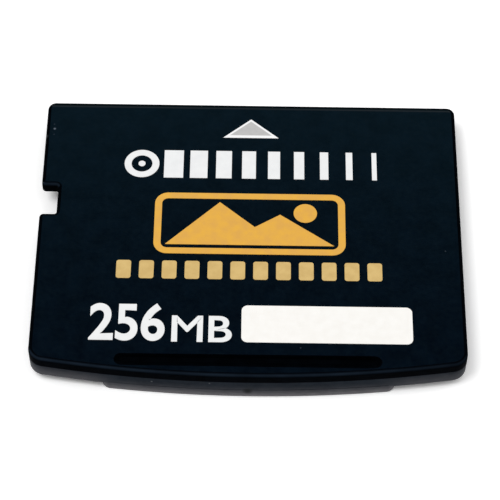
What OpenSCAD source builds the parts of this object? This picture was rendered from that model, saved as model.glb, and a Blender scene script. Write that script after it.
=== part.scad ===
// Small removable memory card for a camera, with a bowed trailing edge.
// It is two thin mouldings joined round their rim, with a chip module between
// them, whose row of contacts shows through a window in the back cover.
// X runs across the card, Y towards the edge that enters the camera first,
// and Z out of the printed face. The origin is under the middle of the card,
// at the bottom of the lip.

/* [Card] */
// Width across the two straight sides
card_w = 25; // [24.6:0.2:30]
// Length from the leading edge to the crown of the trailing edge
card_l = 20; // [19:0.5:26]
// Thickness from the back to the printed face
card_t = 1.7; // [1.6:0.05:2.4]
// How far the trailing edge bows out at its middle
bow_rise = 1.06; // [0.7:0.02:1.5]
// Radius of the two leading corners
lead_r = 0.5; // [0.3:0.05:0.9]
// Radius of the two trailing corners
trail_r = 0.9; // [0.6:0.05:1.3]
// Radius round the edge of the printed face
face_edge_r = 0.22; // [0.06:0.02:0.24]
// Radius round the edge of the back
back_edge_r = 0.16; // [0.06:0.02:0.24]
// How far the back cover's wall leans in from the parting line to the back
back_draft = 0.02; // [0:0.01:0.08]

/* [Covers] */
// Depth of the front cover's rim, from the printed face to the parting line
front_rim = 0.7; // [0.62:0.02:0.9]
// Plastic between the printed face and the chip module
face_plate = 0.5; // [0.4:0.02:0.56]
// Plastic between the back and the circuit board
floor_t = 0.25; // [0.2:0.01:0.3]
// Side and leading walls round the chip module
wall_t = 0.65; // [0.5:0.05:0.75]
// Plastic between the crown of the trailing edge and the chip module's space
trail_wall = 1.8; // [1.7:0.05:2.4]
// Radius in the corners of the chip module's space
pocket_r = 0.5; // [0.2:0.05:0.8]
// Radius of the four locating pegs
peg_r = 0.4; // [0.25:0.05:0.5]
// Height of the locating pegs
peg_h = 0.35; // [0.2:0.05:0.4]
// Room round and over each peg in its socket
peg_gap = 0.05; // [0.03:0.01:0.08]
// From the end of the guide steps back to the leading pegs
peg_from_step = 1.6; // [1.2:0.1:3]
// From the chip module's space forward to the trailing pegs
peg_from_trail = 0.6; // [0.6:0.1:1.6]

/* [Lip on the back] */
// How far the lip stands out of the back
lip_h = 0.4; // [0.25:0.05:0.7]
// Reach of the lip to the left of the middle
lip_left = 8.3; // [5:0.1:9.5]
// Reach of the lip to the right of the middle
lip_right = 8.4; // [5:0.1:9.5]
// Depth of the lip, from the trailing edge inwards
lip_depth = 1.5; // [1.2:0.1:2.4]
// Radius in plan of the lip's four corners
lip_r = 0.5; // [0.3:0.05:0.6]
// Radius round the lip's lower edge
lip_edge_r = 0.04; // [0.04:0.02:0.2]
// Step in to the lip from the rim at the parting line
lip_step = 0; // [0:0.01:0.1]

/* [Finger groove] */
// Length of the groove in the printed face
groove_l = 15.2; // [10:0.2:18]
// Width of the groove
groove_w = 0.78; // [0.5:0.02:0.9]
// Depth of the groove
groove_d = 0.32; // [0.15:0.01:0.35]
// From the crown of the trailing edge to the middle of the groove
groove_in = 1.05; // [0.85:0.02:1.11]
// Width of the groove's floor
groove_floor_w = 0.3; // [0.16:0.02:0.4]
// How far the groove's steep wall leans out
groove_lean = 0.04; // [0.02:0.01:0.06]

/* [Lock notch and guide steps] */
// How deep the lock notch goes into the left side
notch_d = 1; // [0.6:0.05:1.2]
// Length of the lock notch along the side
notch_l = 2.12; // [1.6:0.02:3.2]
// From the leading edge to the middle of the lock notch
notch_from_lead = 7.54; // [6:0.02:9]
// Radius of the two outer corners at the notch's mouth
notch_mouth_r = 0.25; // [0.1:0.05:0.4]
// Radius of the two inner corners
notch_inner_r = 0.15; // [0.05:0.05:0.3]
// How much further in than the notch the back cover is stepped
step_more = 0.05; // [0.02:0.01:0.2]
// Radius in the inner corner of each guide step
step_r = 0.3; // [0.1:0.05:0.6]

/* [Circuit board] */
// Thickness of the board
board_t = 0.25; // [0.2:0.01:0.3]
// Room between the board and the wall round it
board_gap = 0.1; // [0.04:0.01:0.12]
// Number of contacts in the row
contact_count = 18; // [12:1:18]
// Spacing of the contacts
contact_pitch = 1.1; // [1:0.01:1.1]
// Width of one contact
contact_w = 0.8; // [0.5:0.05:0.85]
// Length of one contact
contact_l = 3.2; // [2.4:0.1:3.4]
// Thickness of the plated contact
contact_t = 0.05; // [0.03:0.01:0.08]
// Radius of a contact's corners
contact_r = 0.12; // [0.04:0.02:0.2]
// From the leading edge to the near end of the contacts
contact_in = 1.45; // [1.4:0.05:2]
// Room in the window round the row of contacts
window_gap = 0.3; // [0.15:0.05:0.3]
// Width of the sloping lead-in at the window's leading edge
ramp_w = 0.2; // [0.1:0.02:0.24]

/* [Chip module] */
// Width of the memory chip
die_w = 12.4; // [9:0.2:14]
// Length of the memory chip
die_l = 9.6; // [7:0.2:10.5]
// Thickness of the memory chip
die_t = 0.2; // [0.1:0.01:0.25]
// Thickness of the film that holds the chip on the board
die_film_t = 0.03; // [0.02:0.01:0.05]
// Width of the moulded cap at its foot
cap_w = 16.6; // [15.4:0.2:17.4]
// Length of the moulded cap at its foot
cap_l = 12.6; // [12:0.2:13.4]
// Radius of the cap's corners at its foot
cap_r = 0.6; // [0.3:0.1:1]
// How far the cap's sides lean in from foot to top
cap_draft = 0.12; // [0.04:0.02:0.2]
// How far the middle of the chip lies behind the middle of the card
chip_back = 0.6; // [0.3:0.1:0.9]
// Thickness of the adhesive film between the cap and the front cover
bond_t = 0.05; // [0.03:0.01:0.08]
// Margin of the cap's top round the adhesive film
bond_margin = 0.8; // [0.4:0.1:2]
// Number of bond wires along each end of the chip
wire_count = 10; // [6:1:16]
// Thickness of a bond wire
wire_d = 0.06; // [0.05:0.005:0.08]
// Height of a bond wire's loop over the chip
wire_loop = 0.14; // [0.1:0.01:0.16]
// Share of the chip's width that a row of bond wires takes
wire_share = 0.9; // [0.5:0.05:0.95]
// From the chip's edge in to the foot of a bond wire
wire_in = 0.14; // [0.1:0.01:0.2]
// From the chip's edge out to where a bond wire lands on the board
wire_out = 0.7; // [0.5:0.05:0.9]

/* [Capacitors] */
// Length of a ceramic capacitor over its end caps
capacitor_l = 1; // [0.6:0.05:1.2]
// Width of a ceramic capacitor
capacitor_w = 0.5; // [0.3:0.05:0.6]
// Height of a ceramic capacitor
capacitor_h = 0.5; // [0.3:0.02:0.56]
// Length of each end cap
end_cap_l = 0.22; // [0.1:0.02:0.25]
// How much the end caps stand out of the ceramic
end_cap_proud = 0.02; // [0.01:0.005:0.03]
// Spacing between the middles of the capacitors
capacitor_pitch = 5.6; // [3:0.2:9]

/* [Print] */
// Thickness of the printed ink
ink_t = 0.03; // [0.02:0.005:0.05]
// Width of the arrow's base
arrow_w = 3.36; // [2.4:0.1:4.4]
// Height of the arrow
arrow_h = 1.45; // [1:0.05:2]
// From the leading edge to the arrow's tip
arrow_in = 1.24; // [0.8:0.04:1.6]
// Length of the writing panel
panel_w = 9.8; // [7:0.2:11]
// Height of the writing panel
panel_h = 2.55; // [1.6:0.05:3]
// Radius of the writing panel's corners
panel_r = 0.36; // [0.1:0.02:0.8]
// How far the middle of the panel lies to the right of the middle of the card
panel_right = 4.5; // [3:0.1:5]
// From the crown of the trailing edge to the middle of the panel
panel_from_trail = 3.56; // [3.2:0.04:4.2]
// Length of the row of white bars
bars_w = 15.2; // [11:0.2:18]
// Height of the white bars
bars_h = 2.1; // [1.2:0.1:2.6]
// From the leading edge to the middle of the white bars
bars_from_lead = 4.8; // [4.4:0.05:5]
// Number of white bars
bar_count = 9; // [5:1:12]
// Line width of the lens ring to the left of the bars
ring_line = 0.42; // [0.2:0.02:0.48]
// Width of the picture sign
sign_w = 11.3; // [8:0.2:14]
// Height of the picture sign
sign_h = 4.5; // [3.4:0.1:4.6]
// Width of the picture sign's frame line
sign_line = 0.42; // [0.25:0.01:0.5]
// Radius of the picture sign's outer corners
sign_r = 0.8; // [0.55:0.05:1.2]
// From the middle of the card to the middle of the picture sign
sign_up = 0.75; // [0.6:0.05:0.9]
// Length of the row of small squares
squares_w = 15.5; // [12:0.5:18]
// Size of one small square
square_s = 0.86; // [0.5:0.02:0.9]
// Number of small squares
square_count = 12; // [8:1:13]
// From the middle of the card down to the row of small squares
squares_down = 2.68; // [2.5:0.02:2.9]

/* [Smoothness] */
// Steps round each corner of the outline
corner_steps = 8; // [3:1:10]
// Steps along the bowed trailing edge
bow_steps = 30; // [12:2:40]
// Steps round each moulded edge
edge_steps = 4; // [2:1:5]
// Steps along the curve of a bond wire
wire_steps = 5; // [3:1:8]

/* [Hidden] */
$fn = 48;
// Margin by which a cutter runs past the face that it opens
past = 0.2;
// The lens ring is as tall as the white bars
ring_d = bars_h;
// Heights above the bottom of the lip
back_z = lip_h;
board_z = back_z + floor_t;
board_top = board_z + board_t;
face_z = back_z + card_t;
part_z = face_z - front_rim;
ceiling_z = face_z - face_plate;
// Places along the card
lead_y = card_l / 2;
trail_y = -card_l / 2;
chip_y = -chip_back;
notch_y = lead_y - notch_from_lead;
step_y = notch_y - notch_l / 2;
groove_y = trail_y + groove_in;
// The bowed edge is one arc through the crown and the ends of the sides
bow_r = (pow(card_w / 2, 2) + pow(bow_rise, 2)) / (2 * bow_rise);
bow_y = trail_y + bow_r;
// The back cover's guide steps and the space for the chip module
step_w = notch_d + step_more;
pocket_w = card_w - 2 * (step_w + wall_t);
pocket_lead = lead_y - wall_t;
pocket_trail = trail_y + trail_wall;
pocket_l = pocket_lead - pocket_trail;
pocket_y = (pocket_lead + pocket_trail) / 2;
board_w = pocket_w - 2 * board_gap;
board_l = pocket_l - 2 * board_gap;
// The row of contacts and the window round it
row_w = (contact_count - 1) * contact_pitch + contact_w;
contact_y = lead_y - contact_in - contact_l / 2;
window_w = row_w + 2 * window_gap;
window_l = contact_l + 2 * window_gap;
// The moulded cap fills the height that the board and the film leave
cap_t = ceiling_z - bond_t - board_top;
cap_top_w = cap_w - 2 * cap_draft;
cap_top_l = cap_l - 2 * cap_draft;
capacitor_x = (cap_w / 2 + board_w / 2) / 2;
peg_x = card_w / 2 - (step_w + wall_t) / 2;
peg_ys = [step_y - peg_from_step, pocket_trail + peg_from_trail];

function contact_name(i) = str("contact_", i < 10 ? "0" : "", i);

// Points on an arc about a centre, both ends included
function arc(centre, r, from, to, steps) =
  [for (i = [0:steps]) centre + r * [cos(from + (to - from) * i / steps),
                                     sin(from + (to - from) * i / steps)]];

// Middle of a trailing corner's radius, tangent to a side and to the bow
function corner_on_bow(x, r) = [x, bow_y - sqrt(pow(bow_r - r, 2) - x * x)];

// Plan of a shape whose trailing side follows the bow, drawn in all round
function bowed_plan(left, right, lead, r_lead, r_trail, inset) =
  let (
    a = corner_on_bow(left + r_trail, r_trail),
    b = corner_on_bow(right - r_trail, r_trail),
    turn_a = 360 + atan2(a.y - bow_y, a.x),
    turn_b = 360 + atan2(b.y - bow_y, b.x),
    bow = arc([0, bow_y], bow_r - inset, turn_a, turn_b, bow_steps)
  )
  concat(
    arc([right - r_lead, lead - r_lead], r_lead - inset, 0, 90, corner_steps),
    arc([left + r_lead, lead - r_lead], r_lead - inset, 90, 180, corner_steps),
    arc(a, r_trail - inset, 180, turn_a, corner_steps),
    [for (i = [1:bow_steps - 1]) bow[i]],
    arc(b, r_trail - inset, turn_b, 360, corner_steps)
  );

// Plan of a rectangle with round corners
function rect_plan(w, l, r) =
  [for (v = [[1, 1, 0], [-1, 1, 90], [-1, -1, 180], [1, -1, 270]])
    each arc([v[0] * (w / 2 - r), v[1] * (l / 2 - r)], r, v[2], v[2] + 90, corner_steps)];

function card_plan(inset) =
  bowed_plan(-card_w / 2, card_w / 2, lead_y, lead_r, trail_r, inset);

function lip_plan(inset) =
  bowed_plan(-lip_left, lip_right, trail_y + lip_depth, lip_r, lip_r, lip_step + inset);

// Heights and insets round a moulded edge: up is 1 for a top edge, -1 for a bottom one
function edge_levels(z, r, up) =
  [for (i = [0:edge_steps]) [z - up * r * (1 - sin(90 * i / edge_steps)),
                             r * (1 - cos(90 * i / edge_steps))]];

function reversed(list) = [for (i = [len(list) - 1:-1:0]) list[i]];

function at_height(plan, z) = [for (p = plan) [p.x, p.y, z]];

// Solid skin over rings of points, each with as many points, from first to last
module loft(rings) {
  n = len(rings[0]);
  last = len(rings) - 1;
  points = [for (ring = rings) for (p = ring) p];
  sides = [for (k = [0:last - 1]) for (i = [0:n - 1])
           [k * n + i, (k + 1) * n + i, (k + 1) * n + (i + 1) % n, k * n + (i + 1) % n]];
  foot = [for (i = [0:n - 1]) i];
  head = [for (i = [n - 1:-1:0]) last * n + i];
  polyhedron(points = points, faces = concat([foot, head], sides), convexity = 4);
}

// Flat rectangle with true round corners
module round_rect(w, l, r) {
  square([w - 2 * r, l], center = true);
  square([w, l - 2 * r], center = true);
  for (x = [-1, 1], y = [-1, 1])
    translate([x * (w / 2 - r), y * (l / 2 - r)])
      circle(r);
}

// Material that fills the corner between two walls that meet at the origin
module corner_fill(r) {
  difference() {
    square(r);
    translate([r, r])
      circle(r);
  }
}

// The notch in plan: its mouth flares out and its inner corners are round
module notch_plan() {
  side = -card_w / 2;
  difference() {
    translate([side - past, notch_y - notch_l / 2])
      square([notch_d + past, notch_l]);
    for (v = [-1, 1])
      translate([side + notch_d, notch_y + v * notch_l / 2])
        mirror([1, 0])
          mirror([0, v > 0 ? 1 : 0])
            corner_fill(notch_inner_r);
  }
  for (v = [-1, 1])
    translate([side, notch_y + v * notch_l / 2])
      mirror([0, v < 0 ? 1 : 0])
        corner_fill(notch_mouth_r);
}

// The groove is steep on the side that a fingernail catches, and slopes out
// towards the trailing edge
module groove_cutter() {
  r = groove_w / 2;
  floor_r = groove_floor_w / 2;
  reach = groove_l / 2 - r;
  hull() {
    for (x = [-reach, reach])
      translate([x, groove_y, face_z])
        cylinder(r = r, h = past, $fn = 32);
    for (x = [-reach, reach])
      translate([x, groove_y + r - floor_r - groove_lean, face_z - groove_d])
        cylinder(r = floor_r, h = past / 20, $fn = 32);
  }
}

module pocket_plan() {
  translate([0, pocket_y])
    round_rect(pocket_w, pocket_l, pocket_r);
}

// Pegs, or with room added the sockets that take them
module pegs(room) {
  for (x = [-peg_x, peg_x], y = peg_ys)
    translate([x, y, part_z - past])
      cylinder(r = peg_r + room, h = past + peg_h + room);
}

// One corner of the back cover's guide step, cut away from the leading edge back
module guide_step(side) {
  run = lead_y + past - step_y;
  mirror([side < 0 ? 1 : 0, 0, 0])
    translate([card_w / 2 - step_w, step_y, back_z - past])
      linear_extrude(part_z + past - back_z + past)
        difference() {
          square([step_w + past, run]);
          corner_fill(step_r);
        }
}

module front_cover() {
  edge = edge_levels(face_z, face_edge_r, 1);
  color([0.045, 0.065, 0.095])
    difference() {
      loft(concat(
        [at_height(card_plan(0), part_z)],
        [for (e = edge) at_height(card_plan(e[1]), e[0])]
      ));
      translate([0, 0, part_z - past])
        linear_extrude(past + ceiling_z - part_z)
          pocket_plan();
      translate([0, 0, part_z - past])
        linear_extrude(front_rim + 2 * past)
          notch_plan();
      pegs(peg_gap);
      groove_cutter();
    }
}

// The back cover's shell before it is hollowed, with the lip along its bowed edge
module back_shell() {
  edge = reversed(edge_levels(back_z, back_edge_r, -1));
  lip_edge = reversed(edge_levels(0, lip_edge_r, -1));
  loft(concat(
    [for (e = edge) at_height(card_plan(back_draft + e[1]), e[0])],
    [at_height(card_plan(0), part_z)]
  ));
  loft(concat(
    [for (e = lip_edge) at_height(lip_plan(e[1]), e[0])],
    [at_height(lip_plan(0), board_z)]
  ));
}

// The window shows the contacts, and slopes on the side that enters first
module window_cutter() {
  ramp_rise = floor_t * 0.7;
  translate([0, contact_y, back_z - past])
    linear_extrude(floor_t + 2 * past)
      round_rect(window_w, window_l, contact_r);
  translate([0, contact_y + window_l / 2, back_z])
    rotate([90, 0, 90])
      linear_extrude(window_w - 2 * contact_r, center = true)
        polygon([[-past, -past], [ramp_w, -past], [ramp_w, 0], [0, ramp_rise], [-past, ramp_rise]]);
}

module back_cover() {
  color([0.13, 0.14, 0.155])
    union() {
      difference() {
        back_shell();
        translate([0, 0, board_z])
          linear_extrude(part_z + past - board_z)
            pocket_plan();
        window_cutter();
        guide_step(-1);
        guide_step(1);
      }
      pegs(0);
    }
}

module circuit_board() {
  color([0.05, 0.16, 0.11])
    translate([0, pocket_y, board_z])
      linear_extrude(board_t)
        round_rect(board_w, board_l, pocket_r);
}

module contact(i) {
  x = (i - (contact_count + 1) / 2) * contact_pitch;
  color([0.83, 0.66, 0.3])
    translate([x, contact_y, board_z - contact_t])
      linear_extrude(contact_t)
        round_rect(contact_w, contact_l, contact_r);
}

module die_film() {
  color([0.75, 0.7, 0.55])
    translate([0, chip_y, board_top])
      linear_extrude(die_film_t)
        square([die_w, die_l], center = true);
}

module memory_die() {
  color([0.42, 0.44, 0.5])
    translate([0, chip_y, board_top + die_film_t])
      linear_extrude(die_t)
        square([die_w, die_l], center = true);
}

// Six points round a wire that travels at an angle of turn over the board
function wire_ring(y, z, turn) =
  [for (w = [0:60:300]) [wire_d / 2 * cos(w),
                         y + wire_d / 2 * sin(w) * sin(turn),
                         z - wire_d / 2 * sin(w) * cos(turn)]];

// A wire rises from the chip, turns over its edge and curves down to the board
module bond_wire() {
  chip_top = die_film_t + die_t;
  high = chip_top + wire_loop;
  span = wire_in + wire_out;
  loft(concat(
    [wire_ring(-wire_in, chip_top, 90)],
    [for (i = [0:wire_steps])
      let (a = 90 * i / wire_steps)
        wire_ring(span * sin(a) - wire_in, high * cos(a), i == 0 ? 45 : atan2(-high * sin(a), span * cos(a)))]
  ));
}

module wire_row(end) {
  spacing = die_w * wire_share / (wire_count - 1);
  mirror([0, end < 0 ? 1 : 0, 0])
    for (i = [0:wire_count - 1])
      translate([(i - (wire_count - 1) / 2) * spacing, die_l / 2, 0])
        bond_wire();
}

module bond_wires() {
  color([0.9, 0.75, 0.35])
    for (end = [-1, 1])
      translate([0, chip_y, board_top])
        wire_row(end);
}

// The cap is moulded over the chip and its wires, so it holds their shape
module moulded_cap() {
  cap_top_plan = rect_plan(cap_top_w, cap_top_l, cap_r - cap_draft);
  color([0.07, 0.07, 0.075])
    difference() {
      translate([0, chip_y, board_top])
        loft([at_height(rect_plan(cap_w, cap_l, cap_r), 0), at_height(cap_top_plan, cap_t)]);
      translate([0, chip_y, board_top - past])
        linear_extrude(past + die_film_t + die_t)
          square([die_w, die_l], center = true);
      bond_wires();
    }
}

module bonding_film() {
  color([0.85, 0.83, 0.76])
    translate([0, chip_y, ceiling_z - bond_t])
      linear_extrude(bond_t)
        square([cap_top_w - 2 * bond_margin, cap_top_l - 2 * bond_margin], center = true);
}

// A ceramic block with a tinned cap on each end, soldered beside the moulded cap
module capacitor(v) {
  proud = end_cap_proud;
  translate([capacitor_x, chip_y + v * capacitor_pitch / 2, board_top]) {
    color([0.7, 0.6, 0.45])
      translate([-capacitor_w / 2 + proud, -capacitor_l / 2 + proud, proud])
        cube([capacitor_w - 2 * proud, capacitor_l - 2 * proud, capacitor_h - 2 * proud]);
    color([0.75, 0.76, 0.78])
      for (end = [0, 1])
        translate([-capacitor_w / 2, -capacitor_l / 2 + end * (capacitor_l - end_cap_l), 0])
          cube([capacitor_w, end_cap_l, capacitor_h]);
  }
}

// Ink lies on the printed face
module ink() {
  translate([0, 0, face_z])
    linear_extrude(ink_t)
      children();
}

module writing_panel() {
  color([0.98, 0.975, 0.96])
    ink()
      translate([panel_right, trail_y + panel_from_trail])
        round_rect(panel_w, panel_h, panel_r);
}

module arrow_mark() {
  tip = lead_y - arrow_in;
  color([0.77, 0.765, 0.76])
    ink()
      polygon([[0, tip], [-arrow_w / 2, tip - arrow_h], [arrow_w / 2, tip - arrow_h]]);
}

// A lens ring and a row of bars that grow thinner to the right
module white_bars() {
  y = lead_y - bars_from_lead;
  room = bars_w - ring_d;
  pitch = room / bar_count;
  thickest = 0.8;
  thinnest = 0.2;
  color([0.93, 0.93, 0.93])
    ink() {
      translate([-bars_w / 2 + ring_d / 2, y])
        difference() {
          circle(ring_d / 2);
          circle(ring_d / 2 - ring_line);
        }
      translate([-bars_w / 2 + ring_d / 2, y])
        circle(ring_d / 2 - 2 * ring_line);
      for (i = [1:bar_count])
        let (w = pitch * (thickest - (thickest - thinnest) * (i - 1) / (bar_count - 1)))
          translate([bars_w / 2 - room + i * pitch - w, y - bars_h / 2])
            square([w, bars_h]);
    }
}

// Two hills and a sun inside a frame: the plain sign for a picture. The hills'
// corners and the sun are given as shares of the room inside the frame.
module picture_sign() {
  inner_w = sign_w - 2 * sign_line;
  inner_h = sign_h - 2 * sign_line;
  air = sign_line * 0.6;
  foot = [0, -inner_h / 2 + air];
  reach = [inner_w / 2 - air, inner_h - 2 * air];
  hills = [[-1, 0], [-0.36, 1], [0.06, 0.42], [0.36, 0.72], [1, 0]];
  sun = [0.66, 0.76];
  sun_r = 0.22 * reach.y;
  color([0.93, 0.72, 0.3])
    ink()
      translate([0, sign_up]) {
        difference() {
          round_rect(sign_w, sign_h, sign_r);
          round_rect(inner_w, inner_h, sign_r - sign_line);
        }
        translate(foot) {
          polygon([for (p = hills) [p.x * reach.x, p.y * reach.y]]);
          translate([sun.x * reach.x, sun.y * reach.y])
            circle(sun_r);
        }
      }
}

module square_row() {
  pitch = (squares_w - square_s) / (square_count - 1);
  square_h = 1.5 * square_s;
  square_r = 0.18 * square_s;
  color([0.84, 0.74, 0.48])
    ink()
      for (i = [0:square_count - 1])
        translate([-squares_w / 2 + square_s / 2 + i * pitch, -squares_down])
          round_rect(square_s, square_h, square_r);
}

front_cover();
back_cover();
circuit_board();
for (i = [1:contact_count])
  contact(i);
die_film();
memory_die();
bond_wires();
moulded_cap();
bonding_film();
capacitor(-1);  // capacitor_1
capacitor(1);  // capacitor_2
writing_panel();
arrow_mark();
white_bars();
picture_sign();
square_row();
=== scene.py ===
import math

import bpy
from mathutils import Matrix, Vector


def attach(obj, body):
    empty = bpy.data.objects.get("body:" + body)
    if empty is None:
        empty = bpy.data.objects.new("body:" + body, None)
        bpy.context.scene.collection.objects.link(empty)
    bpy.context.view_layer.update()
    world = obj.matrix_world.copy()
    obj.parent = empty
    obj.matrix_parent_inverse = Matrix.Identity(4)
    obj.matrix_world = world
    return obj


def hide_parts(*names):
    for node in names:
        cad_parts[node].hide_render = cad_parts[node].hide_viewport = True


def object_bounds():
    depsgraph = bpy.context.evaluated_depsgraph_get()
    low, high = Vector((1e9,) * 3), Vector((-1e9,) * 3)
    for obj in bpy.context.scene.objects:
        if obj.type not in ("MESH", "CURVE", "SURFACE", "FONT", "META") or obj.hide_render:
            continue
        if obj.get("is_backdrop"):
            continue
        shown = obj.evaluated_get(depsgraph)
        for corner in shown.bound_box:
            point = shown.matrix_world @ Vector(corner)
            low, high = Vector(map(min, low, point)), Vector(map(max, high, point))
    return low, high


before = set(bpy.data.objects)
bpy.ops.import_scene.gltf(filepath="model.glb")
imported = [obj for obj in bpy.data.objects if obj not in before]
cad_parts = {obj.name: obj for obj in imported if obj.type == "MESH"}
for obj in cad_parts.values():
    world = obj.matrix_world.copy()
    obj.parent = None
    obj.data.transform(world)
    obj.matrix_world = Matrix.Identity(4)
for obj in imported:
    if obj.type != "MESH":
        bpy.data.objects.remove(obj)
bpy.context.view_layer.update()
MM = 0.001


# Camera
# It looks down on the printed face from in front of the trailing edge, 130 mm away.
# Its turn, height, roll and distance were fitted to the outline of the card.
CAMERA_TURN = math.radians(-0.0726)
CAMERA_HEIGHT = math.radians(53.4505)
CAMERA_ROLL = math.radians(0.8642)
CAMERA_DISTANCE = 130.042
CAMERA_AIM = Vector((0.0324, -1.1698, 2.1))
CAMERA_LENS = 159.687

bpy.ops.object.select_all(action="DESELECT")
camera_axes = (Matrix.Rotation(CAMERA_TURN, 3, "Z")
               @ Matrix.Rotation(math.pi / 2 - CAMERA_HEIGHT, 3, "X")
               @ Matrix.Rotation(CAMERA_ROLL, 3, "Z"))
camera_place = CAMERA_AIM + camera_axes.col[2] * CAMERA_DISTANCE
bpy.ops.object.camera_add(location=camera_place * MM, rotation=camera_axes.to_euler())
camera = bpy.context.active_object
camera.data.sensor_width = 36
camera.data.lens = CAMERA_LENS
camera.data.clip_start = 0.005
camera.data.clip_end = 20
bpy.context.scene.camera = camera


# Back cover
# One half of the housing, moulded in charcoal plastic with a fine matt grain. It has
# the lip under the bowed edge, the contact window, two guide steps and four pegs, and
# it is welded to the front cover round the rim.
CARD_WIDTH = 25
CARD_LENGTH = 20
BOW_RISE = 1.06
LEAD_RADIUS = 0.5
TRAIL_RADIUS = 0.9
BACK_Z = 0.4
PARTING_Z = 1.4
BACK_DRAFT = 0.02
BACK_EDGE_RADIUS = 0.16
LIP_LEFT = -8.3
LIP_RIGHT = 8.4
LIP_DEPTH = 1.5
LIP_RADIUS = 0.5
LIP_EDGE_RADIUS = 0.04
POCKET_LOW = (-10.8, -8.2, 0.65)
POCKET_HIGH = (10.8, 9.35, 1.6)
POCKET_RADIUS = 0.5
WINDOW_LOW = (-10.05, 5.05)
WINDOW_HIGH = (10.05, 8.85)
WINDOW_RADIUS = 0.12
RAMP_WIDTH = 0.2
RAMP_RISE = 0.175
STEP_X = 11.45
STEP_Y = 1.40
STEP_RADIUS = 0.3
PEG_X = 11.65
PEG_YS = (-0.20, -7.6)
PEG_RADIUS = 0.4
PEG_TOP = 1.75
PARTING_ROUND = 0.02
BACK_COLOUR = (0.0035, 0.0070, 0.0125)
BACK_PALE = (0.0080, 0.0125, 0.0195)
# The pale colour and the spans below are painted reflection: they stand in for the white floor mirrored
# in the walls.
BACK_PAINTED_REFLECTION = (0.155, 0.150, 0.160)
REFLECTION_FOOT = 0.1
REFLECTION_TOP = 1.4
END_REFLECTION_FOOT = 0.5
END_REFLECTION_TOP = 1.35
END_FROM = 7.2
END_TO = 9.2
LEFT_END_REFLECTION = 0.51
RIGHT_END_REFLECTION = 0.34
GATE_PLACE = (0.0, -10.0, 0.55)
GATE_DARK = (0.012, 0.013, 0.014)
WALL_DUST = (((-5.44, -9.8, 1.09), 0.05), ((-2.16, -9.97, 1.23), 0.04))
WALL_DUST_COLOUR = (0.09, 0.10, 0.11)

SIDE = CARD_WIDTH / 2
LEAD = CARD_LENGTH / 2
TRAIL = -CARD_LENGTH / 2
BOW_RADIUS = (SIDE ** 2 + BOW_RISE ** 2) / (2 * BOW_RISE)
PAST = 0.2
NEAR = 0.001


def deselect():
    bpy.ops.object.select_all(action="DESELECT")


def block(name, low, high):
    """A cube primitive at its size and place"""
    deselect()
    middle = [(a + b) / 2 for a, b in zip(low, high)]
    size = [b - a for a, b in zip(low, high)]
    bpy.ops.mesh.primitive_cube_add(size=1, location=middle, scale=size)
    piece = bpy.context.active_object
    piece.name = name
    bpy.ops.object.transform_apply(location=True, rotation=True, scale=True)
    return piece


def pick(piece, kind, wanted):
    """Opens the piece in edit mode with only the wanted edges or faces selected"""
    deselect()
    piece.select_set(True)
    bpy.context.view_layer.objects.active = piece
    bpy.ops.object.mode_set(mode="EDIT")
    bpy.ops.mesh.select_mode(type=kind)
    bpy.ops.mesh.select_all(action="DESELECT")
    bpy.ops.object.mode_set(mode="OBJECT")
    mesh = piece.data
    if kind == "EDGE":
        for edge in mesh.edges:
            edge.select = wanted(*(mesh.vertices[v].co for v in edge.vertices))
    else:
        for face in mesh.polygons:
            face.select = wanted(face.center, face.normal)
    bpy.ops.object.mode_set(mode="EDIT")


def round_off(piece, radius, steps, wanted):
    """Rounds the wanted edges of the piece"""
    pick(piece, "EDGE", wanted)
    bpy.ops.mesh.bevel(offset=radius, segments=steps, profile=0.5, affect="EDGES")
    bpy.ops.object.mode_set(mode="OBJECT")


def upright(a, b):
    return abs(a.x - b.x) < NEAR and abs(a.y - b.y) < NEAR


def level_at(z):
    """Picks the edges that lie flat at this height"""
    return lambda a, b: abs(a.z - z) < NEAR and abs(b.z - z) < NEAR


def bow(x):
    """How far in from its crown the trailing edge lies, at this place across"""
    return BOW_RADIUS - math.sqrt(BOW_RADIUS ** 2 - x ** 2)


def bowed_plate(name, low, high, lead_radius, trail_radius):
    """A plate with round corners, whose trailing side follows the bow"""
    piece = block(name, low, high)
    middle = (low[1] + high[1]) / 2
    slope = math.asin(high[0] / BOW_RADIUS)
    tangent = trail_radius / math.tan((math.pi / 2 + slope) / 2)
    round_off(piece, lead_radius, 10, lambda a, b: upright(a, b) and a.y > middle)
    round_off(piece, tangent, 12, lambda a, b: upright(a, b) and a.y < middle)
    pick(piece, "EDGE", lambda a, b: abs(a.y - low[1]) < NEAR and abs(b.y - low[1]) < NEAR
         and not upright(a, b))
    bpy.ops.mesh.subdivide(number_cuts=40)
    bpy.ops.object.mode_set(mode="OBJECT")
    for vertex in piece.data.vertices:
        if vertex.co.y < middle:
            vertex.co.y += bow(vertex.co.x)
    return piece


def combine(piece, tool, operation):
    """Cuts the tool out of the piece, or joins it on, and clears the tool away"""
    change = piece.modifiers.new(operation, "BOOLEAN")
    change.operation = operation
    change.solver = "EXACT"
    change.object = tool
    deselect()
    bpy.context.view_layer.objects.active = piece
    bpy.ops.object.modifier_apply(modifier=change.name)
    bpy.data.objects.remove(tool)


def pocket_cutter(low, high):
    """The space for the chip module, which both covers share"""
    cutter = block("pocket", low, high)
    round_off(cutter, POCKET_RADIUS, 8, upright)
    return cutter


def peg(x, y, radius, low, high):
    deselect()
    bpy.ops.mesh.primitive_cylinder_add(vertices=40, radius=radius, depth=high - low,
                                        location=(x, y, (low + high) / 2))
    piece = bpy.context.active_object
    bpy.ops.object.transform_apply(location=True, rotation=True, scale=True)
    round_off(piece, 0.05, 2, level_at(high))
    return piece


def soften(piece, radius):
    """A fine round on every sharp edge that the mould leaves"""
    change = piece.modifiers.new("soften", "BEVEL")
    change.width = radius
    change.segments = 2
    change.limit_method = "ANGLE"
    change.angle_limit = math.radians(50)
    bpy.context.view_layer.objects.active = piece
    bpy.ops.object.modifier_apply(modifier=change.name)


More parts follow.
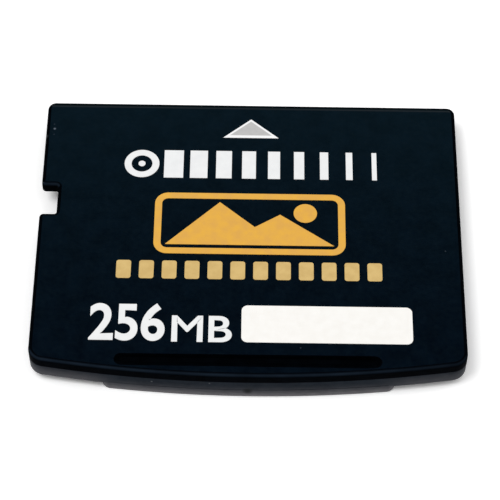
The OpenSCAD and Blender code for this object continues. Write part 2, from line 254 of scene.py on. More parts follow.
def finish_shape(piece):
    """Turns the piece to metres and shades its rounds smooth and its flats flat"""
    deselect()
    piece.select_set(True)
    bpy.context.view_layer.objects.active = piece
    bpy.ops.object.mode_set(mode="EDIT")
    bpy.ops.mesh.select_all(action="SELECT")
    bpy.ops.mesh.remove_doubles(threshold=0.0005)
    bpy.ops.mesh.normals_make_consistent(inside=False)
    bpy.ops.object.mode_set(mode="OBJECT")
    piece.scale = (MM, MM, MM)
    bpy.ops.object.transform_apply(location=True, rotation=True, scale=True)
    bpy.ops.object.shade_smooth_by_angle(angle=math.radians(35))
    change = piece.modifiers.new("flats", "WEIGHTED_NORMAL")
    change.keep_sharp = True
    bpy.ops.object.modifier_apply(modifier=change.name)


def finish(name, roughness, specular, metallic=0.0):
    """A new material: the material, its nodes and its shader"""
    material = bpy.data.materials.new(name)
    material.use_nodes = True
    shader = material.node_tree.nodes["Principled BSDF"]
    shader.inputs["Roughness"].default_value = roughness
    shader.inputs["Specular IOR Level"].default_value = specular
    shader.inputs["Metallic"].default_value = metallic
    return material, material.node_tree, shader


def place_on(tree):
    """The place of each point on the object, in metres"""
    return tree.nodes.new("ShaderNodeTexCoord").outputs["Object"]


def grain(tree, size, detail=2.0, stretch=(1, 1, 1)):
    """Noise whose marks are about this size, in millimetres"""
    fit = tree.nodes.new("ShaderNodeMapping")
    fit.inputs["Scale"].default_value = [1 / (size * MM * s) for s in stretch]
    tree.links.new(place_on(tree), fit.inputs["Vector"])
    noise = tree.nodes.new("ShaderNodeTexNoise")
    noise.inputs["Scale"].default_value = 1
    noise.inputs["Detail"].default_value = detail
    tree.links.new(fit.outputs["Vector"], noise.inputs["Vector"])
    return noise.outputs["Fac"]


def spread(tree, value, low, high, to_low, to_high):
    """Maps a value from one span to another, and holds it there"""
    node = tree.nodes.new("ShaderNodeMapRange")
    tree.links.new(value, node.inputs["Value"])
    for name, number in (("From Min", low), ("From Max", high), ("To Min", to_low), ("To Max", to_high)):
        node.inputs[name].default_value = number
    return node.outputs["Result"]


def two_colours(tree, share, first, second):
    """Mixes two colours, each a colour or the outcome of another mix"""
    node = tree.nodes.new("ShaderNodeMix")
    node.data_type = "RGBA"
    tree.links.new(share, node.inputs["Factor"])
    for socket, colour in ((node.inputs[6], first), (node.inputs[7], second)):
        if isinstance(colour, tuple):
            socket.default_value = (*colour, 1)
        else:
            tree.links.new(colour, socket)
    return node.outputs[2]


def math_node(tree, operation, first, second=0.0):
    node = tree.nodes.new("ShaderNodeMath")
    node.operation = operation
    for socket, value in zip(node.inputs, (first, second)):
        if isinstance(value, (int, float)):
            socket.default_value = value
        else:
            tree.links.new(value, socket)
    return node.outputs["Value"]


def relief(tree, shader, height, depth, strength=1.0):
    """Small hollows and rises in the surface, this many millimetres deep"""
    node = tree.nodes.new("ShaderNodeBump")
    node.inputs["Strength"].default_value = strength
    node.inputs["Distance"].default_value = depth * MM
    tree.links.new(height, node.inputs["Height"])
    tree.links.new(node.outputs["Normal"], shader.inputs["Normal"])


def near_point(tree, place, radius, soft):
    """1 within this radius of a place, falling to 0 over the soft width, all in millimetres"""
    node = tree.nodes.new("ShaderNodeVectorMath")
    node.operation = "DISTANCE"
    tree.links.new(place_on(tree), node.inputs[0])
    node.inputs[1].default_value = [v * MM for v in place]
    return spread(tree, node.outputs["Value"], radius * MM, (radius + soft) * MM, 1, 0)


def part_of_place(tree, axis):
    """The place of each point along this axis, in metres"""
    node = tree.nodes.new("ShaderNodeSeparateXYZ")
    tree.links.new(place_on(tree), node.inputs["Vector"])
    return node.outputs[axis]


def facing(tree, axis):
    """How far the surface faces along this axis, from -1 to 1"""
    node = tree.nodes.new("ShaderNodeSeparateXYZ")
    tree.links.new(tree.nodes.new("ShaderNodeTexCoord").outputs["Normal"], node.inputs["Vector"])
    return node.outputs[axis]


back_cover = bowed_plate("back_shell", (-SIDE, TRAIL, BACK_Z), (SIDE, LEAD, PARTING_Z),
                         LEAD_RADIUS, TRAIL_RADIUS)
pick(back_cover, "FACE", lambda centre, normal: normal.z < -0.9)
bpy.ops.transform.resize(value=(1 - 2 * BACK_DRAFT / CARD_WIDTH, 1 - 2 * BACK_DRAFT / CARD_LENGTH, 1))
bpy.ops.object.mode_set(mode="OBJECT")
round_off(back_cover, BACK_EDGE_RADIUS, 5, level_at(BACK_Z))
lip = bowed_plate("lip", (LIP_LEFT, TRAIL, 0), (LIP_RIGHT, TRAIL + LIP_DEPTH, POCKET_LOW[2]),
                  LIP_RADIUS, LIP_RADIUS)
round_off(lip, LIP_EDGE_RADIUS, 4, level_at(0))
combine(back_cover, lip, "UNION")
combine(back_cover, pocket_cutter(POCKET_LOW, POCKET_HIGH), "DIFFERENCE")

window = block("window", (*WINDOW_LOW, BACK_Z - PAST), (*WINDOW_HIGH, POCKET_LOW[2] + PAST))
round_off(window, WINDOW_RADIUS, 5, upright)
combine(back_cover, window, "DIFFERENCE")
ramp_foot = WINDOW_HIGH[1] + RAMP_WIDTH * (1 + PAST / RAMP_RISE)
ramp = block("ramp", (WINDOW_LOW[0] + WINDOW_RADIUS, WINDOW_HIGH[1] - PAST, BACK_Z - PAST),
             (WINDOW_HIGH[0] - WINDOW_RADIUS, ramp_foot, BACK_Z + RAMP_RISE))
pick(ramp, "EDGE", lambda a, b: min(a.y, b.y) > ramp_foot - NEAR and min(a.z, b.z) > BACK_Z)
bpy.ops.transform.translate(value=(0, WINDOW_HIGH[1] - ramp_foot, 0))
bpy.ops.object.mode_set(mode="OBJECT")
combine(back_cover, ramp, "DIFFERENCE")

for side in (-1, 1):
    xs = sorted((side * STEP_X, side * (SIDE + PAST)))
    step = block("guide_step", (xs[0], STEP_Y, BACK_Z - PAST), (xs[1], LEAD + PAST, PARTING_Z + PAST))
    round_off(step, STEP_RADIUS, 8, lambda a, b: upright(a, b) and abs(abs(a.x) - STEP_X) < NEAR
              and a.y < STEP_Y + NEAR)
    combine(back_cover, step, "DIFFERENCE")
soften(back_cover, PARTING_ROUND)
for x in (-PEG_X, PEG_X):
    for y in PEG_YS:
        combine(back_cover, peg(x, y, PEG_RADIUS, PARTING_Z - PAST, PEG_TOP), "UNION")
finish_shape(back_cover)

charcoal, tree, shader = finish("charcoal_back", 0.5, 0.03)
mottle = two_colours(tree, spread(tree, grain(tree, 1.4, 3), 0.35, 0.65, 0, 1), BACK_COLOUR, BACK_PALE)
uneven = math_node(tree, "SUBTRACT", grain(tree, 0.5, 3, (1, 1, 0.3)), 0.5)
height = math_node(tree, "ADD", part_of_place(tree, "Z"), math_node(tree, "MULTIPLY", uneven, 0.3 * MM))
# Painted reflection: the walls get paler towards the floor and at both ends of the trailing side, less
# on the right.
floor_reflection = math_node(tree, "POWER", spread(tree, height, REFLECTION_FOOT * MM, REFLECTION_TOP * MM, 1, 0), 3)
across = part_of_place(tree, "X")
at_left = spread(tree, across, -END_TO * MM, -END_FROM * MM, LEFT_END_REFLECTION, 0)
at_right = spread(tree, across, END_FROM * MM, END_TO * MM, 0, RIGHT_END_REFLECTION)
end_reflection = math_node(tree, "MULTIPLY", spread(tree, height, END_REFLECTION_FOOT * MM, END_REFLECTION_TOP * MM, 1, 0.12),
                    math_node(tree, "MAXIMUM", at_left, at_right))
on_wall = spread(tree, math_node(tree, "ABSOLUTE", facing(tree, "Z")), 0.6, 0.95, 1, 0)
painted_reflection = math_node(tree, "MULTIPLY", math_node(tree, "MAXIMUM", floor_reflection, end_reflection), on_wall)
with_painted_light = two_colours(tree, painted_reflection, mottle, BACK_PAINTED_REFLECTION)
gated = two_colours(tree, near_point(tree, GATE_PLACE, 0.10, 0.25), with_painted_light, GATE_DARK)
(first_place, first_soft), (second_place, second_soft) = WALL_DUST
dust = math_node(tree, "MAXIMUM", near_point(tree, first_place, 0.02, first_soft),
                 near_point(tree, second_place, 0.02, second_soft))
tree.links.new(two_colours(tree, dust, gated, WALL_DUST_COLOUR), shader.inputs["Base Color"])
tree.links.new(spread(tree, grain(tree, 0.25, 3), 0.3, 0.7, 0.42, 0.58), shader.inputs["Roughness"])
relief(tree, shader, grain(tree, 0.08, 2), 0.006, 0.6)
back_cover.data.materials.append(charcoal)
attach(back_cover, "root")
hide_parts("back_cover")


# Circuit board
# A thin glass-fibre board under dark green solder mask, laid on the floor of the back
# cover. Copper tracks run under the mask from each contact towards the chip.
TRACK_PITCH = 1.1
TRACK_WIDTH = 0.16
MASK_GREEN = (0.008, 0.034, 0.020)
MASK_PALE = (0.016, 0.062, 0.036)


def dress(node_name, material):
    """Gives a CAD node this material"""
    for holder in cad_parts[node_name].material_slots:
        holder.material = material


mask, tree, shader = finish("solder_mask", 0.28, 0.5)
along = math_node(tree, "PINGPONG", part_of_place(tree, "X"), TRACK_PITCH / 2 * MM)
track = spread(tree, along, (TRACK_PITCH - TRACK_WIDTH) / 2 * MM, TRACK_PITCH / 2 * MM, 0, 1)
weave = grain(tree, 0.3, 3)
green = two_colours(tree, spread(tree, weave, 0.3, 0.7, 0, 0.6), MASK_GREEN, MASK_PALE)
tree.links.new(two_colours(tree, track, green, (0.02, 0.075, 0.04)), shader.inputs["Base Color"])
tree.links.new(spread(tree, grain(tree, 0.12, 2), 0.3, 0.7, 0.22, 0.38), shader.inputs["Roughness"])
relief(tree, shader, math_node(tree, "ADD", track, weave), 0.008, 0.6)
dress("circuit_board", mask)


# Contacts
# Eighteen copper pads on the back of the board, plated with nickel and hard gold. The
# camera's springs slide along them and leave fine marks in the gold.
CONTACTS = ["contact_%02d" % i for i in range(1, 19)]
GOLD = (0.83, 0.58, 0.22)
GOLD_DULL = (0.66, 0.45, 0.18)
GOLD_WORN = (0.90, 0.74, 0.46)
SCAR_Y = 6.9
SCAR_HALF_WIDTH = 0.09
SCAR_HALF_LENGTH = 0.8

plating, tree, shader = finish("hard_gold", 0.24, 0.5, 1.0)
shifted = math_node(tree, "ADD", part_of_place(tree, "X"), TRACK_PITCH / 2 * MM)
from_middle = math_node(tree, "PINGPONG", shifted, TRACK_PITCH / 2 * MM)
in_scar = spread(tree, from_middle, SCAR_HALF_WIDTH * MM, (SCAR_HALF_WIDTH + 0.08) * MM, 1, 0)
along = math_node(tree, "SUBTRACT", part_of_place(tree, "Y"), SCAR_Y * MM)
in_length = spread(tree, math_node(tree, "ABSOLUTE", along),
                   SCAR_HALF_LENGTH * MM, (SCAR_HALF_LENGTH + 0.3) * MM, 1, 0)
scar = math_node(tree, "MULTIPLY", in_scar, in_length)
slide_marks = grain(tree, 0.03, 3, (1, 40, 1))
scratches = math_node(tree, "MULTIPLY", scar, spread(tree, slide_marks, 0.35, 0.65, 0.35, 1))
clouds = grain(tree, 0.6, 3)
plated = two_colours(tree, spread(tree, clouds, 0.4, 0.7, 0, 0.8), GOLD, GOLD_DULL)
tree.links.new(two_colours(tree, scratches, plated, GOLD_WORN), shader.inputs["Base Color"])
tree.links.new(math_node(tree, "ADD", spread(tree, slide_marks, 0.35, 0.7, 0.18, 0.34),
                         math_node(tree, "MULTIPLY", scratches, 0.18)), shader.inputs["Roughness"])
worn = math_node(tree, "SUBTRACT", math_node(tree, "MULTIPLY", slide_marks, 0.4), scratches)
relief(tree, shader, worn, 0.004, 0.6)
for name in CONTACTS:
    dress(name, plating)


# Chip film
# Film adhesive that holds the memory chip on the board. It was cut with the chip and
# cured, so it is a cloudy amber.
film, tree, shader = finish("cured_film", 0.45, 0.4)
tree.links.new(two_colours(tree, spread(tree, grain(tree, 0.4, 4), 0.3, 0.7, 0, 1),
                           (0.56, 0.47, 0.25), (0.66, 0.57, 0.35)), shader.inputs["Base Color"])
relief(tree, shader, grain(tree, 0.2, 3), 0.004, 0.4)
dress("die_film", film)


# Memory chip
# A thinned slice of silicon, sawn square and bonded face up. Its memory fields show as
# a faint grid under the clear layer on top.
FIELD_SIZE = 1.55

silicon, tree, shader = finish("silicon", 0.16, 0.6, 0.55)
across = math_node(tree, "PINGPONG", part_of_place(tree, "X"), FIELD_SIZE / 2 * MM)
down = math_node(tree, "PINGPONG", part_of_place(tree, "Y"), FIELD_SIZE / 2 * MM)
street = spread(tree, math_node(tree, "MINIMUM", across, down), 0.02 * MM, 0.06 * MM, 1, 0)
sheen = two_colours(tree, grain(tree, 2.5, 1), (0.17, 0.18, 0.25), (0.25, 0.22, 0.24))
tree.links.new(two_colours(tree, street, sheen, (0.36, 0.37, 0.40)), shader.inputs["Base Color"])
tree.links.new(spread(tree, grain(tree, 0.1, 2), 0.3, 0.7, 0.12, 0.24), shader.inputs["Roughness"])
dress("memory_die", silicon)


# Bond wires
# Drawn gold wire, pressed on the chip and looped down to the board at both ends.
# The resin cap is moulded round it.
wire, tree, shader = finish("gold_wire", 0.2, 0.5, 1.0)
tree.links.new(two_colours(tree, grain(tree, 0.08, 2), (0.88, 0.64, 0.26), (0.78, 0.55, 0.2)),
               shader.inputs["Base Color"])
tree.links.new(spread(tree, grain(tree, 0.04, 2), 0.3, 0.7, 0.15, 0.32), shader.inputs["Roughness"])
dress("bond_wires", wire)


# Moulded cap
# Black moulding resin, filled with glass grains and pressed over the chip and its wires.
# Its top is a little shinier than its sloping sides.
resin, tree, shader = finish("moulding_resin", 0.5, 0.45)
specks = spread(tree, grain(tree, 0.03, 2), 0.66, 0.74, 0, 0.5)
tree.links.new(two_colours(tree, specks, (0.014, 0.014, 0.016), (0.07, 0.07, 0.075)),
               shader.inputs["Base Color"])
tree.links.new(spread(tree, grain(tree, 0.5, 3), 0.3, 0.7, 0.4, 0.6), shader.inputs["Roughness"])
relief(tree, shader, grain(tree, 0.06, 3), 0.004, 0.6)
dress("moulded_cap", resin)


# Adhesive film
# A pale double-sided film between the cap and the inside of the front cover, which
# keeps the module from moving.
pad, tree, shader = finish("double_sided_film", 0.4, 0.4)
tree.links.new(two_colours(tree, spread(tree, grain(tree, 0.8, 4), 0.35, 0.65, 0, 1),
                           (0.68, 0.66, 0.56), (0.78, 0.76, 0.67)), shader.inputs["Base Color"])
relief(tree, shader, grain(tree, 0.3, 3), 0.006, 0.5)
dress("bonding_film", pad)


# Capacitors
# Two small ceramic blocks with tinned ends, soldered to the board beside the cap.
# The ceramic is tan and fine, and the tin is bright.
CAPACITOR_YS = {"capacitor_1": -3.4, "capacitor_2": 2.2}
CERAMIC_HALF = 0.28

for name, y in CAPACITOR_YS.items():
    ceramic, tree, shader = finish("ceramic_" + name[-1], 0.4, 0.4)
    off = math_node(tree, "ABSOLUTE", math_node(tree, "SUBTRACT", part_of_place(tree, "Y"), y * MM))
    tinned = math_node(tree, "GREATER_THAN", off, CERAMIC_HALF * MM)
    tan = two_colours(tree, grain(tree, 0.1, 3), (0.46, 0.35, 0.22), (0.56, 0.44, 0.3))
    tree.links.new(two_colours(tree, tinned, tan, (0.62, 0.63, 0.65)), shader.inputs["Base Color"])
    tree.links.new(tinned, shader.inputs["Metallic"])
    relief(tree, shader, grain(tree, 0.05, 2), 0.004, 0.5)
    dress(name, ceramic)


# Front cover
# The other half of the housing: a dark blue-black moulding with a satin printed face,
# a finger groove and the lock notch in its left side. It sits on the four pegs. Its
# rim is matt and darker, with a paler painted highlight along the round of the bowed edge.
FACE_Z = 2.1
FACE_EDGE_RADIUS = 0.22
NOTCH_DEPTH = 1.0
NOTCH_LENGTH = 2.12
NOTCH_Y = 2.46
NOTCH_MOUTH_RADIUS = 0.25
NOTCH_INNER_RADIUS = 0.15
GROOVE_LENGTH = 15.2
GROOVE_WIDTH = 0.78
GROOVE_DEPTH = 0.32
GROOVE_Y = -8.95
GROOVE_FLOOR_WIDTH = 0.3
GROOVE_LEAN = 0.2
GROOVE_ROUND = 0.03
SOCKET_RADIUS = 0.45
SOCKET_TOP = 1.8
FACE_BLACK = (0.0003, 0.0017, 0.0048)
FACE_BLUE = (0.0008, 0.0032, 0.0076)
# The next colour is a painted highlight line on the face just inside the leading edge.
FACE_EDGE_HIGHLIGHT = (0.020, 0.020, 0.022)
RIM_BLACK = (0.0003, 0.0006, 0.0012)
RIM_PALE = (0.0006, 0.0012, 0.0022)
# The next colour is a painted highlight along the upper round of the bowed edge.
RIM_PAINTED_HIGHLIGHT = (0.0080, 0.0135, 0.0220)
DUST_PLACE = (-11.985, 7.84, 2.1)
DUST_COLOUR = (0.10, 0.12, 0.15)
FLECKS = (((-12.02, 8.20, 2.1), 0.25), ((-12.0, 7.40, 2.1), 0.2),
          ((2.98, -8.04, 2.1), 0.3), ((11.50, -1.06, 2.1), 0.35))
NICK_PLACE = (-12.45, 7.27, 2.02)
NICK_COLOUR = (0.035, 0.040, 0.045)

front_cover = bowed_plate("front_shell", (-SIDE, TRAIL, PARTING_Z), (SIDE, LEAD, FACE_Z),
                          LEAD_RADIUS, TRAIL_RADIUS)
notch = block("notch", (-SIDE - PAST, NOTCH_Y - NOTCH_LENGTH / 2, PARTING_Z - PAST),
              (-SIDE + NOTCH_DEPTH, NOTCH_Y + NOTCH_LENGTH / 2, FACE_Z + PAST))
round_off(notch, NOTCH_INNER_RADIUS, 6, lambda a, b: upright(a, b) and a.x > -SIDE)
combine(front_cover, notch, "DIFFERENCE")
round_off(front_cover, NOTCH_MOUTH_RADIUS, 6, lambda a, b: upright(a, b) and a.x < -SIDE + NEAR
          and abs(a.y - NOTCH_Y) < NOTCH_LENGTH / 2 + NEAR)
round_off(front_cover, FACE_EDGE_RADIUS, 8, level_at(FACE_Z))

groove = block("groove", (-GROOVE_LENGTH / 2, GROOVE_Y - GROOVE_WIDTH / 2, FACE_Z - GROOVE_DEPTH),
               (GROOVE_LENGTH / 2, GROOVE_Y + GROOVE_WIDTH / 2, FACE_Z))
round_off(groove, GROOVE_WIDTH / 2 - NEAR, 8, upright)
pick(groove, "FACE", lambda centre, normal: normal.z < -0.9)
narrowed = GROOVE_WIDTH - GROOVE_FLOOR_WIDTH
bpy.ops.transform.resize(value=(1 - narrowed / GROOVE_LENGTH, GROOVE_FLOOR_WIDTH / GROOVE_WIDTH, 1))
bpy.ops.transform.translate(value=(0, GROOVE_LEAN, 0))
bpy.ops.object.mode_set(mode="OBJECT")
pick(groove, "FACE", lambda centre, normal: normal.z > 0.9)
bpy.ops.mesh.extrude_region_move(TRANSFORM_OT_translate={"value": (0, 0, PAST)})
bpy.ops.object.mode_set(mode="OBJECT")
combine(front_cover, groove, "DIFFERENCE")
round_off(front_cover, GROOVE_ROUND, 3, lambda a, b: level_at(FACE_Z)(a, b)
          and all(abs(p.y - GROOVE_Y) < GROOVE_WIDTH / 2 + NEAR for p in (a, b))
          and all(abs(p.x) < GROOVE_LENGTH / 2 + NEAR for p in (a, b)))

combine(front_cover, pocket_cutter((*POCKET_LOW[:2], PARTING_Z - PAST), POCKET_HIGH), "DIFFERENCE")
soften(front_cover, PARTING_ROUND)
for x in (-PEG_X, PEG_X):
    for y in PEG_YS:
        combine(front_cover, peg(x, y, SOCKET_RADIUS, PARTING_Z - PAST, SOCKET_TOP), "DIFFERENCE")
finish_shape(front_cover)

satin, tree, shader = finish("satin_face", 0.21, 0.2)
cloudy = spread(tree, grain(tree, 1.1, 4), 0.36, 0.64, 0, 1)
face_colour = two_colours(tree, cloudy, FACE_BLACK, FACE_BLUE)
dust = near_point(tree, DUST_PLACE, 0.03, 0.07)
for place, strength in FLECKS:
    fleck = math_node(tree, "MULTIPLY", near_point(tree, place, 0.01, 0.05), strength)
    dust = math_node(tree, "MAXIMUM", dust, fleck)
# Painted light along the leading edge: a pale painted highlight line, then a painted dark band where the
# face meets its round.
flat_end = LEAD - FACE_EDGE_RADIUS
forward = part_of_place(tree, "Y")
painted_edge_highlight = spread(tree, forward, (flat_end - 0.22) * MM, (flat_end - 0.15) * MM, 0, 0.6)
face_colour = two_colours(tree, painted_edge_highlight, face_colour, FACE_EDGE_HIGHLIGHT)
painted_edge_shade = spread(tree, forward, (flat_end - 0.10) * MM, (flat_end - 0.06) * MM, 0, 1)
face_colour = two_colours(tree, painted_edge_shade, face_colour, RIM_BLACK)
tree.links.new(two_colours(tree, dust, face_colour, DUST_COLOUR), shader.inputs["Base Color"])
tree.links.new(spread(tree, grain(tree, 0.3, 3), 0.3, 0.7, 0.17, 0.25), shader.inputs["Roughness"])
relief(tree, shader, grain(tree, 0.06, 2), 0.002, 0.6)
front_cover.data.materials.append(satin)

for name, with_painted_light in (("matt_rim", 0), ("handled_rim", 1)):
    rim, tree, shader = finish(name, 0.6, 0.004)
    black = two_colours(tree, spread(tree, grain(tree, 0.7, 3), 0.35, 0.65, 0, 1), RIM_BLACK, RIM_PALE)
    up = facing(tree, "Z")
    # Painted highlight: the upper round of the bowed edge is lightened, unevenly and less towards the
    # right end.
    upward = math_node(tree, "MULTIPLY", spread(tree, up, 0.2, 0.72, 0, 1),
                       spread(tree, up, 0.83, 0.97, 1, 0.15))
    backward = spread(tree, facing(tree, "Y"), -0.25, -0.08, with_painted_light, 0)
    uneven_highlight = math_node(tree, "MULTIPLY", spread(tree, grain(tree, 1.2, 3), 0.35, 0.65, 0.7, 1),
                        spread(tree, part_of_place(tree, "X"), 6 * MM, 11 * MM, 1, 0.6))
    painted_highlight = math_node(tree, "MULTIPLY", math_node(tree, "MULTIPLY", upward, backward), uneven_highlight)
    black = two_colours(tree, painted_highlight, black, RIM_PAINTED_HIGHLIGHT)
    nick = math_node(tree, "MULTIPLY", near_point(tree, NICK_PLACE, 0.06, 0.10), 0.8)
    tree.links.new(two_colours(tree, nick, black, NICK_COLOUR), shader.inputs["Base Color"])
    tree.links.new(spread(tree, grain(tree, 0.2, 2), 0.3, 0.7, 0.5, 0.7), shader.inputs["Roughness"])
    relief(tree, shader, grain(tree, 0.05, 2), 0.002, 0.4)
    front_cover.data.materials.append(rim)
for face in front_cover.data.polygons:
    centre = face.center / MM
    in_groove = (abs(centre.y - GROOVE_Y) < GROOVE_WIDTH / 2 + GROOVE_ROUND
                 and abs(centre.x) < GROOVE_LENGTH / 2 + GROOVE_ROUND and face.normal.z < 0.999)
    trailing_round = face.normal.y < -0.05 and face.normal.z > 0.03 and not in_groove
    if centre.z < FACE_Z - NEAR / 2:
        face.material_index = 2 if trailing_round else 1
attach(front_cover, "root")
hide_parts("front_cover")


# White and warm print
# Screen-printed inks on the face: the writing panel, the lens ring with its bars, the
# picture sign and the row of squares. The ink is matt, with a fine uneven coat.
PRINTS = {
    "writing_panel": ("panel_ink", (0.955, 0.935, 0.900), (0.925, 0.900, 0.860)),
    "white_bars": ("white_ink", (0.86, 0.865, 0.865), (0.82, 0.825, 0.83)),
    "picture_sign": ("orange_ink", (0.80, 0.425, 0.055), (0.74, 0.39, 0.07)),
    "square_row": ("sand_ink", (0.69, 0.48, 0.18), (0.62, 0.42, 0.15)),
}


def ink(name, colour, thin_colour):
    """A screen-printed ink that is a little thinner in places"""
    material, tree, shader = finish(name, 0.55, 0.3)
    coat = spread(tree, grain(tree, 0.5, 4), 0.35, 0.65, 0, 1)
    tree.links.new(two_colours(tree, coat, colour, thin_colour), shader.inputs["Base Color"])
    tree.links.new(spread(tree, grain(tree, 0.1, 2), 0.3, 0.7, 0.48, 0.65), shader.inputs["Roughness"])
    relief(tree, shader, grain(tree, 0.08, 2), 0.003, 0.4)
    return material


inks = {}
for node_name, (ink_name, colour, thin_colour) in PRINTS.items():
    inks[node_name] = ink(ink_name, colour, thin_colour)
    dress(node_name, inks[node_name])


# Arrow
# It points to the edge that enters the camera first. It is printed in silver-grey,
# with a white line round it that is widest along the base.
ARROW_WIDTH = 3.36
ARROW_TIP_Y = 8.76
ARROW_BASE_Y = 7.31
ARROW_LINE = 0.10
ARROW_BASE_LINE = 0.17

silver, tree, shader = finish("arrow_ink", 0.5, 0.3)
x = math_node(tree, "ABSOLUTE", part_of_place(tree, "X"))
y = part_of_place(tree, "Y")
rise = ARROW_TIP_Y - ARROW_BASE_Y
edge = math.hypot(rise, ARROW_WIDTH / 2)
across = math_node(tree, "MULTIPLY", x, rise / edge)
below_tip = math_node(tree, "SUBTRACT", ARROW_TIP_Y * MM, y)
down = math_node(tree, "MULTIPLY", below_tip, ARROW_WIDTH / 2 / edge)
from_side = math_node(tree, "SUBTRACT", down, across)
from_base = math_node(tree, "SUBTRACT", y, ARROW_BASE_Y * MM)
line = math_node(tree, "MAXIMUM",
                 spread(tree, from_side, ARROW_LINE * MM, (ARROW_LINE + 0.04) * MM, 1, 0),
                 spread(tree, from_base, ARROW_BASE_LINE * MM, (ARROW_BASE_LINE + 0.04) * MM, 1, 0))
fill = two_colours(tree, spread(tree, grain(tree, 0.3, 4), 0.3, 0.7, 0, 1),
                   (0.49, 0.485, 0.48), (0.54, 0.53, 0.52))
tree.links.new(two_colours(tree, line, fill, (0.93, 0.93, 0.93)), shader.inputs["Base Color"])
relief(tree, shader, grain(tree, 0.08, 2), 0.003, 0.4)
dress("arrow_mark", silver)


# Capacity
# Plain digits and their unit, screen-printed in white ink beside the writing panel.
# The digits are taller than the unit, and both stand on one line.
INK_THICKNESS = 0.03
CAPACITY = {
    "capacity_digits": ("256", (-9.12, -7.72), (-4.78, -5.11), 0.022),
    "capacity_unit": ("MB", (-4.39, -7.74), (-0.94, -5.93), 0.014),
}

for name, (words, low, high, boldness) in CAPACITY.items():
    deselect()
    bpy.ops.object.text_add()
    lettering = bpy.context.active_object
    lettering.name = name
    lettering.data.body = words
    lettering.data.resolution_u = 8
    bpy.ops.object.convert(target="MESH")
    bpy.ops.object.mode_set(mode="EDIT")
    bpy.ops.mesh.select_all(action="SELECT")
    bpy.ops.mesh.remove_doubles(threshold=0.0005)
    bpy.ops.mesh.extrude_region_move(TRANSFORM_OT_translate={"value": (0, 0, 1)})
    bpy.ops.mesh.select_all(action="SELECT")
    bpy.ops.mesh.normals_make_consistent(inside=False)
    bpy.ops.transform.shrink_fatten(value=boldness, use_even_offset=True)
    bpy.ops.object.mode_set(mode="OBJECT")
    corners = [vertex.co for vertex in lettering.data.vertices]
    start = [min(c[axis] for c in corners) for axis in (0, 1)]
    size = [max(c[axis] for c in corners) - start[axis] for axis in (0, 1)]
    for corner in corners:
        for axis in (0, 1):
            share = (corner[axis] - start[axis]) / size[axis]
            corner[axis] = low[axis] + share * (high[axis] - low[axis])
        corner.z = FACE_Z + (INK_THICKNESS if corner.z > 0.5 else 0)
    finish_shape(lettering)
    lettering.data.materials.append(inks["white_bars"])
    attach(lettering, "root")


# Floor
# A plain white sheet. The card leans on it, on the inner edge of its lip and on the
# leading edge of its back, so in the card's frame the sheet slopes by one degree.
FLOOR_SIZE = 4.0
FLOOR_WHITE = (0.90, 0.90, 0.90)
FLOOR_SEEN = (1.28, 1.28, 1.28)

lean = math.atan(BACK_Z / (LEAD - BACK_EDGE_RADIUS - (TRAIL + LIP_DEPTH)))
deselect()
bpy.ops.mesh.primitive_plane_add(size=FLOOR_SIZE, rotation=(lean, 0, 0),
                                 location=(0, (TRAIL + LIP_DEPTH) * MM, -0.002 * MM))
floor = bpy.context.active_object
floor.name = "floor"
sheet, tree, shader = finish("white_sheet", 0.9, 0.0)
tree.nodes.remove(shader)
matt = tree.nodes.new("ShaderNodeBsdfDiffuse")
seen = tree.nodes.new("ShaderNodeLightPath")
looked_at = math_node(tree, "MAXIMUM", math_node(tree, "MAXIMUM", seen.outputs["Is Camera Ray"],
                      seen.outputs["Is Glossy Ray"]), seen.outputs["Is Transmission Ray"])
tree.links.new(two_colours(tree, looked_at, FLOOR_WHITE, FLOOR_SEEN), matt.inputs["Color"])
clear = tree.nodes.new("ShaderNodeBsdfTransparent")
from_below = tree.nodes.new("ShaderNodeMixShader")
tree.links.new(tree.nodes.new("ShaderNodeNewGeometry").outputs["Backfacing"], from_below.inputs["Fac"])
tree.links.new(matt.outputs["BSDF"], from_below.inputs[1])
tree.links.new(clear.outputs["BSDF"], from_below.inputs[2])
tree.links.new(from_below.outputs["Shader"], tree.nodes["Material Output"].inputs["Surface"])
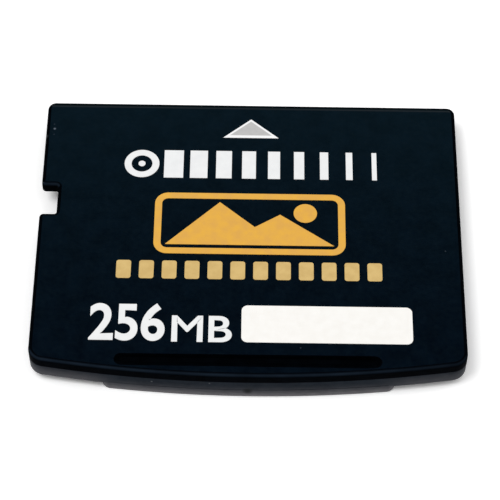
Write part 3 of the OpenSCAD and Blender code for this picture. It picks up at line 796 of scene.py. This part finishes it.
floor.data.materials.append(sheet)
floor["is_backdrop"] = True


# Studio light
# A large soft lamp above, to the left and a little in front, and a weaker one from
# the right, in a pale room with a dim bluish ceiling, which the satin face mirrors.
LAMPS = {
    "key": ((-0.21, -0.09, 0.475), 0.26, 1.12),
    "fill": ((0.40, 0.00, 0.42), 0.40, 0.45),
}
ROOM_LIGHT = 0.62
CEILING_BLUE = (0.27, 0.80, 1.0)

for name, (place, size, power) in LAMPS.items():
    deselect()
    aim = (-Vector(place)).to_track_quat("-Z", "Y").to_euler()
    bpy.ops.object.light_add(type="AREA", location=place, rotation=aim)
    lamp = bpy.context.active_object
    lamp.name = name
    lamp.data.size = size
    lamp.data.energy = power

room = bpy.data.worlds.new("room")
bpy.context.scene.world = room
room.use_nodes = True
tree = room.node_tree
sky = tree.nodes["Background"]
direction = tree.nodes.new("ShaderNodeSeparateXYZ")
tree.links.new(tree.nodes.new("ShaderNodeTexCoord").outputs["Generated"], direction.inputs["Vector"])
mirrored = spread(tree, direction.outputs["Z"], 0.66, 0.807, 1, 0)
seen = tree.nodes.new("ShaderNodeLightPath")
straight = math_node(tree, "MAXIMUM", seen.outputs["Is Camera Ray"], seen.outputs["Is Transmission Ray"])
near_horizon = spread(tree, direction.outputs["Z"], 0.30, 0.62, 0.45, 1)
glossy = math_node(tree, "MULTIPLY", seen.outputs["Is Glossy Ray"],
                   math_node(tree, "MULTIPLY", mirrored, near_horizon))
lit = math_node(tree, "MULTIPLY", seen.outputs["Is Diffuse Ray"], ROOM_LIGHT)
strength = math_node(tree, "ADD", math_node(tree, "ADD", straight, glossy), lit)
tree.links.new(strength, sky.inputs["Strength"])
blueness = math_node(tree, "MULTIPLY", seen.outputs["Is Glossy Ray"],
                     spread(tree, direction.outputs["Z"], 0.25, 0.60, 0, 1))
tree.links.new(two_colours(tree, blueness, (1.0, 1.0, 1.0), CEILING_BLUE), sky.inputs["Color"])

bpy.context.scene.view_settings.view_transform = "Standard"

low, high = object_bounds()
